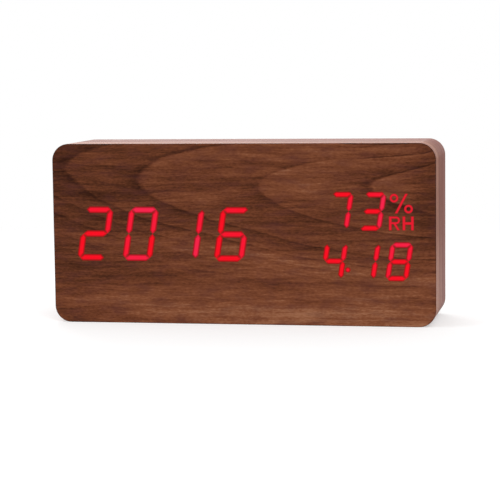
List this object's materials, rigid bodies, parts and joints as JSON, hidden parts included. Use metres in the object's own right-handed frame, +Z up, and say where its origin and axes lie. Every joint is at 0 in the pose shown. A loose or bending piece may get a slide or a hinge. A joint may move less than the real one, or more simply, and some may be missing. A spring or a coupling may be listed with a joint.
{
  "type": "digital alarm clock",
  "caption": "Wood-veneered block alarm clock with lit red figures in its face, and buttons, a power inlet and a battery door on its back.",
  "frame": {"origin": "on the table, under the middle of the clock's bounding box", "axes": "+X to the right as the face is read, +Y from the face to the back, +Z up"},
  "size_m": [0.15, 0.04, 0.07],
  "materials": {
    "fibreboard": "raw fibreboard, matt",
    "walnut_film": "printed walnut-grain film, satin",
    "walnut_veneer": "walnut grain, satin",
    "lit_red": "red light showing through the face",
    "diffuser": "milky film",
    "mask_plastic": "white moulding",
    "led": "clear resin over a chip",
    "circuit_board": "green solder mask",
    "screw_steel": "zinc plated",
    "chip_resin": "black moulding",
    "metal_can": "plain metal can",
    "capacitor_sleeve": "dark sleeve over a metal can",
    "socket_plastic": "ivory moulding",
    "ribbon": "grey ribbon",
    "black_plastic": "fine spark texture",
    "button_plastic": "satin moulding",
    "switch_plastic": "black moulding",
    "jack_plastic": "black moulding",
    "jack_contact": "plated contact pin",
    "sensor_plastic": "pale moulding",
    "cell_jacket": "plain printed jacket over a metal can",
    "contact_steel": "nickel plated spring steel",
    "red_wire": "insulated wire",
    "black_wire": "insulated wire"
  },
  "bodies": {
    "case": {"case_shell": "fibreboard", "wrap_film": "walnut_film", "front_veneer": "walnut_veneer", "lit_year_figures": "lit_red", "lit_humidity_figures": "lit_red", "lit_date_figures": "lit_red", "lit_humidity_sign": "lit_red", "diffuser_film": "diffuser", "light_mask": "mask_plastic", "segment_leds": "led", "display_board": "circuit_board", "mask_screws": "screw_steel", "display_board_screws": "screw_steel", "clock_chip": "chip_resin", "crystal_can": "metal_can", "capacitor": "capacitor_sleeve", "digit_drivers": "chip_resin", "lead_socket": "socket_plastic", "link_headers": "socket_plastic", "board_link": "ribbon", "rear_cover": "black_plastic", "cover_screws": "screw_steel", "control_board": "circuit_board", "control_board_screws": "screw_steel", "switch_bodies": "switch_plastic", "dc_jack": "jack_plastic", "dc_jack_pin": "jack_contact", "buzzer": "switch_plastic", "microphone": "metal_can", "humidity_sensor": "sensor_plastic", "battery_cells": "cell_jacket", "battery_springs": "contact_steel", "battery_plates": "contact_steel", "battery_lead_red": "red_wire", "battery_lead_black": "black_wire"},
    "set_key": {"set_button": "button_plastic", "set_plunger": "switch_plastic"},
    "up_key": {"up_button": "button_plastic", "up_plunger": "switch_plastic"},
    "down_key": {"down_button": "button_plastic", "down_plunger": "switch_plastic"},
    "door": {"battery_door": "black_plastic"}
  },
  "joints": [
    {"name": "set_press", "type": "slide", "parent": "case", "child": "set_key", "axis": [0, -1, 0], "range_m": [0, 0.0006], "stiffness_N_per_m": 1500},
    {"name": "up_press", "type": "slide", "parent": "case", "child": "up_key", "axis": [0, -1, 0], "range_m": [0, 0.0006], "stiffness_N_per_m": 1500},
    {"name": "down_press", "type": "slide", "parent": "case", "child": "down_key", "axis": [0, -1, 0], "range_m": [0, 0.0006], "stiffness_N_per_m": 1500},
    {"name": "battery_door_hinge", "type": "hinge", "parent": "case", "child": "door", "pos_m": [0.03325, 0.0182, 0.0118], "axis": [-1, 0, 0], "range_deg": [0, 85]}
  ]
}
